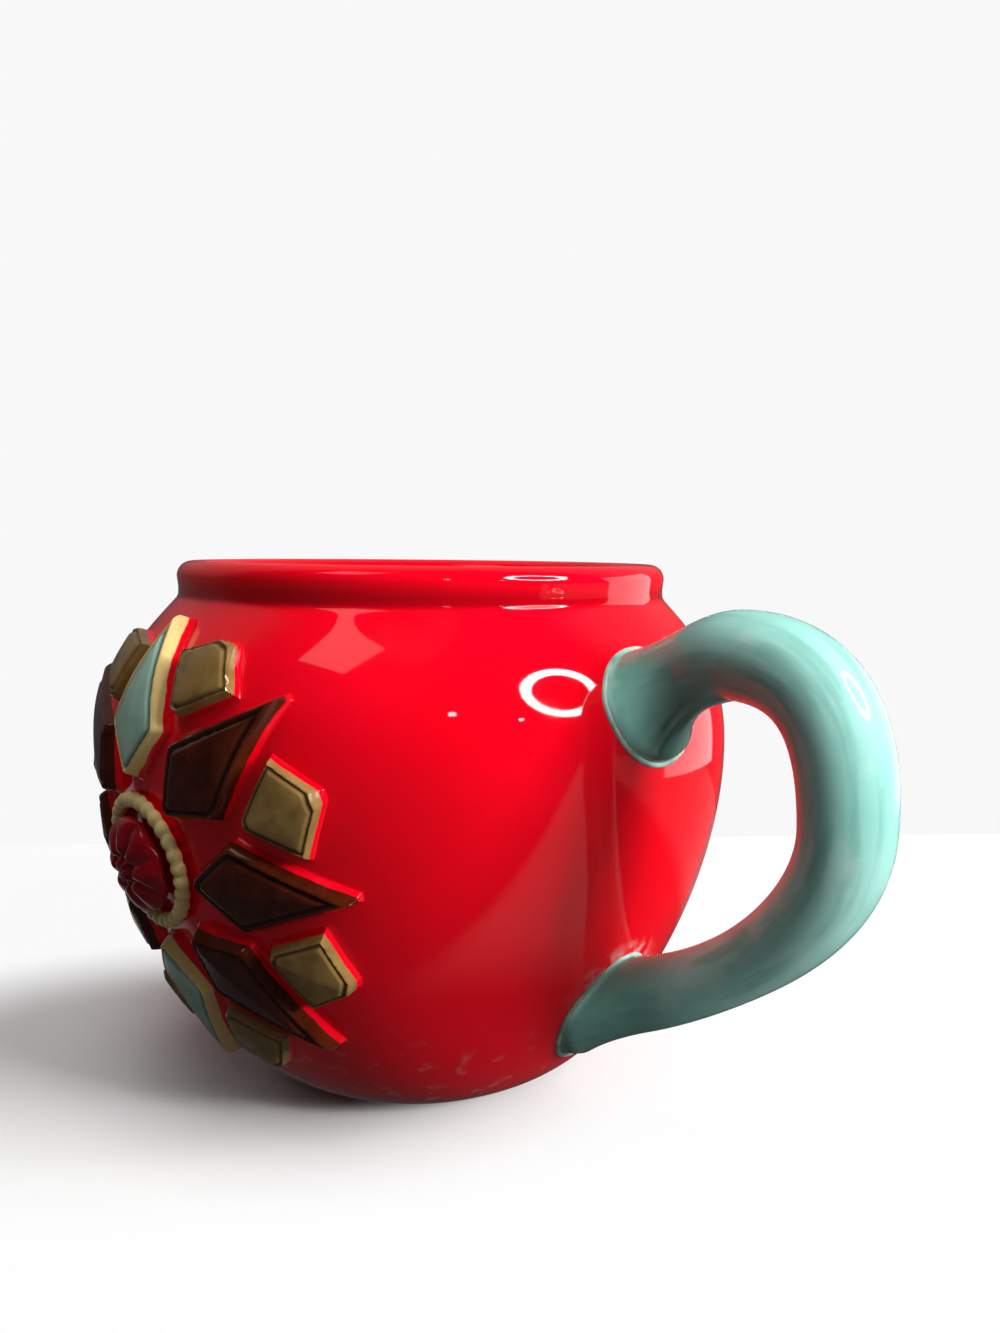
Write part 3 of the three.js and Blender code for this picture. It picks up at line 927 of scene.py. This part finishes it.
# lamps, in metres and degrees: level is how bright a white card facing the lamp would be
softBoxes = {
    "key": {"turn": 22, "tilt": 20, "away": 1.2, "size": 0.3, "level": 0.95, "mirrored": False},
    "handleKey": {"turn": -1, "tilt": 24, "away": 1.2, "size": 0.3, "level": 1.3, "mirrored": False},
    "right": {"turn": 70, "tilt": 14, "away": 1.2, "size": 0.6, "level": 0.15, "mirrored": False},
    "back": {"turn": 175, "tilt": 8, "away": 1.2, "size": 0.6, "level": 0.22, "mirrored": False},
    "top": {"turn": -70, "tilt": 80, "away": 1.2, "size": 0.6, "level": 0.4, "mirrored": False},
    "window": {"turn": 64, "tilt": 10, "away": 0.3, "size": 0.2, "level": 0.24, "mirrored": True},
    "fill": {"turn": -70, "tilt": 50, "away": 1.2, "size": 0.8, "level": 0.04, "mirrored": False},
    "leftGlint": {"turn": -30, "tilt": 31, "away": 0.6, "size": 0.024, "level": 0.01, "mirrored": True},
    "rightGlint": {"turn": -6, "tilt": 25, "away": 0.6, "size": 0.016, "level": 0.0045, "mirrored": True},
    "card": {"turn": -94, "tilt": 62, "away": 1.2, "size": 0.36, "level": 0.04, "mirrored": True},
}
ringLamp = {
    "turn": 15, "tilt": 36, "away": 0.6, "radius": 0.124, "tube": 0.019, "level": 0.78,
    "tint": (1, 0.98, 0.95), "segments": 64, "sides": 12,
}
bodyMiddle = Vector((0, 0, bodyTop.z / 2))


# a stand that faces the mug from a turn round it and a tilt above it
def lampStand(s):
    turn, tilt = math.radians(s["turn"]), math.radians(s["tilt"])
    way = Vector((math.cos(tilt) * math.cos(turn), math.cos(tilt) * math.sin(turn), math.sin(tilt)))
    aim = way.to_track_quat("Z", "Y").to_matrix().to_4x4()
    return Matrix.Translation(bodyMiddle + way * s["away"]) @ aim


def addSoftBox(name, s):
    light = bpy.data.lights.new(name, "AREA")
    light.shape = "SQUARE"
    light.size = s["size"]
    light.energy = s["level"] * math.pi ** 2 * s["away"] ** 2
    lamp = bpy.data.objects.new(name, light)
    bpy.context.scene.collection.objects.link(lamp)
    lamp.matrix_world = lampStand(s)
    lamp.visible_camera = False
    lamp.visible_glossy = s["mirrored"]
    return lamp


# a key lamp that lights the handle alone takes the place of the other one there
def shareKeys(key, handleKey):
    for lamp, state in ((key, "EXCLUDE"), (handleKey, "INCLUDE")):
        group = bpy.data.collections.new(lamp.name + "Group")
        group.objects.link(handle)
        group.collection_objects[0].light_linking.link_state = state
        lamp.light_linking.receiver_collection = group


def addRingLamp(s):
    freshStart()
    bpy.ops.mesh.primitive_torus_add(major_segments=s["segments"], minor_segments=s["sides"],
                                     major_radius=s["radius"], minor_radius=s["tube"])
    lamp = bpy.context.object
    lamp.name = "ringLamp"
    lamp.data.transform(lampStand(s))
    glow = bpy.data.materials.new("ringGlow")
    glow.use_nodes = True
    shader = glow.node_tree.nodes["Principled BSDF"]
    shader.inputs["Base Color"].default_value = (0, 0, 0, 1)
    shader.inputs["Emission Color"].default_value = (*s["tint"], 1)
    seenArea = 2 * math.pi * s["radius"] * 2 * s["tube"]
    shader.inputs["Emission Strength"].default_value = s["level"] * math.pi * s["away"] ** 2 / seenArea
    lamp.data.materials.append(glow)
    lamp.visible_camera = False


lamps = {name: addSoftBox(name, box) for name, box in softBoxes.items()}
shareKeys(lamps["key"], lamps["handleKey"])
addRingLamp(ringLamp)


# world: a dim room, with a white backdrop behind the mug
worldLook = {
    "room": 0.035, "backdrop": 0.94, "mirrored": 0.22, "behindFull": 0.3, "aloft": 0.4, "horizon": 0.25,
}


def addWorld(look):
    world = bpy.data.worlds.new("studio")
    bpy.context.scene.world = world
    world.use_nodes = True
    tree = world.node_tree
    room = tree.nodes["Background"]
    room.inputs["Color"].default_value = (1, 1, 1, 1)
    room.inputs["Strength"].default_value = look["room"]
    backdrop = addNode(tree, "Background", {"Strength": look["backdrop"]})
    backdrop.inputs["Color"].default_value = (1, 1, 1, 1)
    behind = addNode(tree, "VectorMath", operation="DOT_PRODUCT")
    behind.inputs[1].default_value = -cameraWay
    way = addNode(tree, "TexCoord").outputs["Generated"]
    tree.links.new(way, behind.inputs[0])
    climb = addNode(tree, "SeparateXYZ")
    tree.links.new(way, climb.inputs["Vector"])
    behindMug = spread(tree, behind.outputs["Value"], 0, look["behindFull"], 0, look["mirrored"])
    aloft = spread(tree, climb.outputs["Z"], 0, look["aloft"], look["horizon"], 1)
    path = addNode(tree, "LightPath")
    direct = larger(tree, path.outputs["Is Camera Ray"], path.outputs["Is Transmission Ray"])
    blend = addNode(tree, "MixShader")
    mirrored = together(tree, path.outputs["Is Glossy Ray"], together(tree, behindMug, aloft))
    tree.links.new(larger(tree, direct, mirrored), blend.inputs["Fac"])
    tree.links.new(room.outputs["Background"], blend.inputs[1])
    tree.links.new(backdrop.outputs["Background"], blend.inputs[2])
    tree.links.new(blend.outputs["Shader"], tree.nodes["World Output"].inputs["Surface"])


addWorld(worldLook)
bpy.context.scene.view_settings.view_transform = "Standard"
print("camera, floor and lamps set")
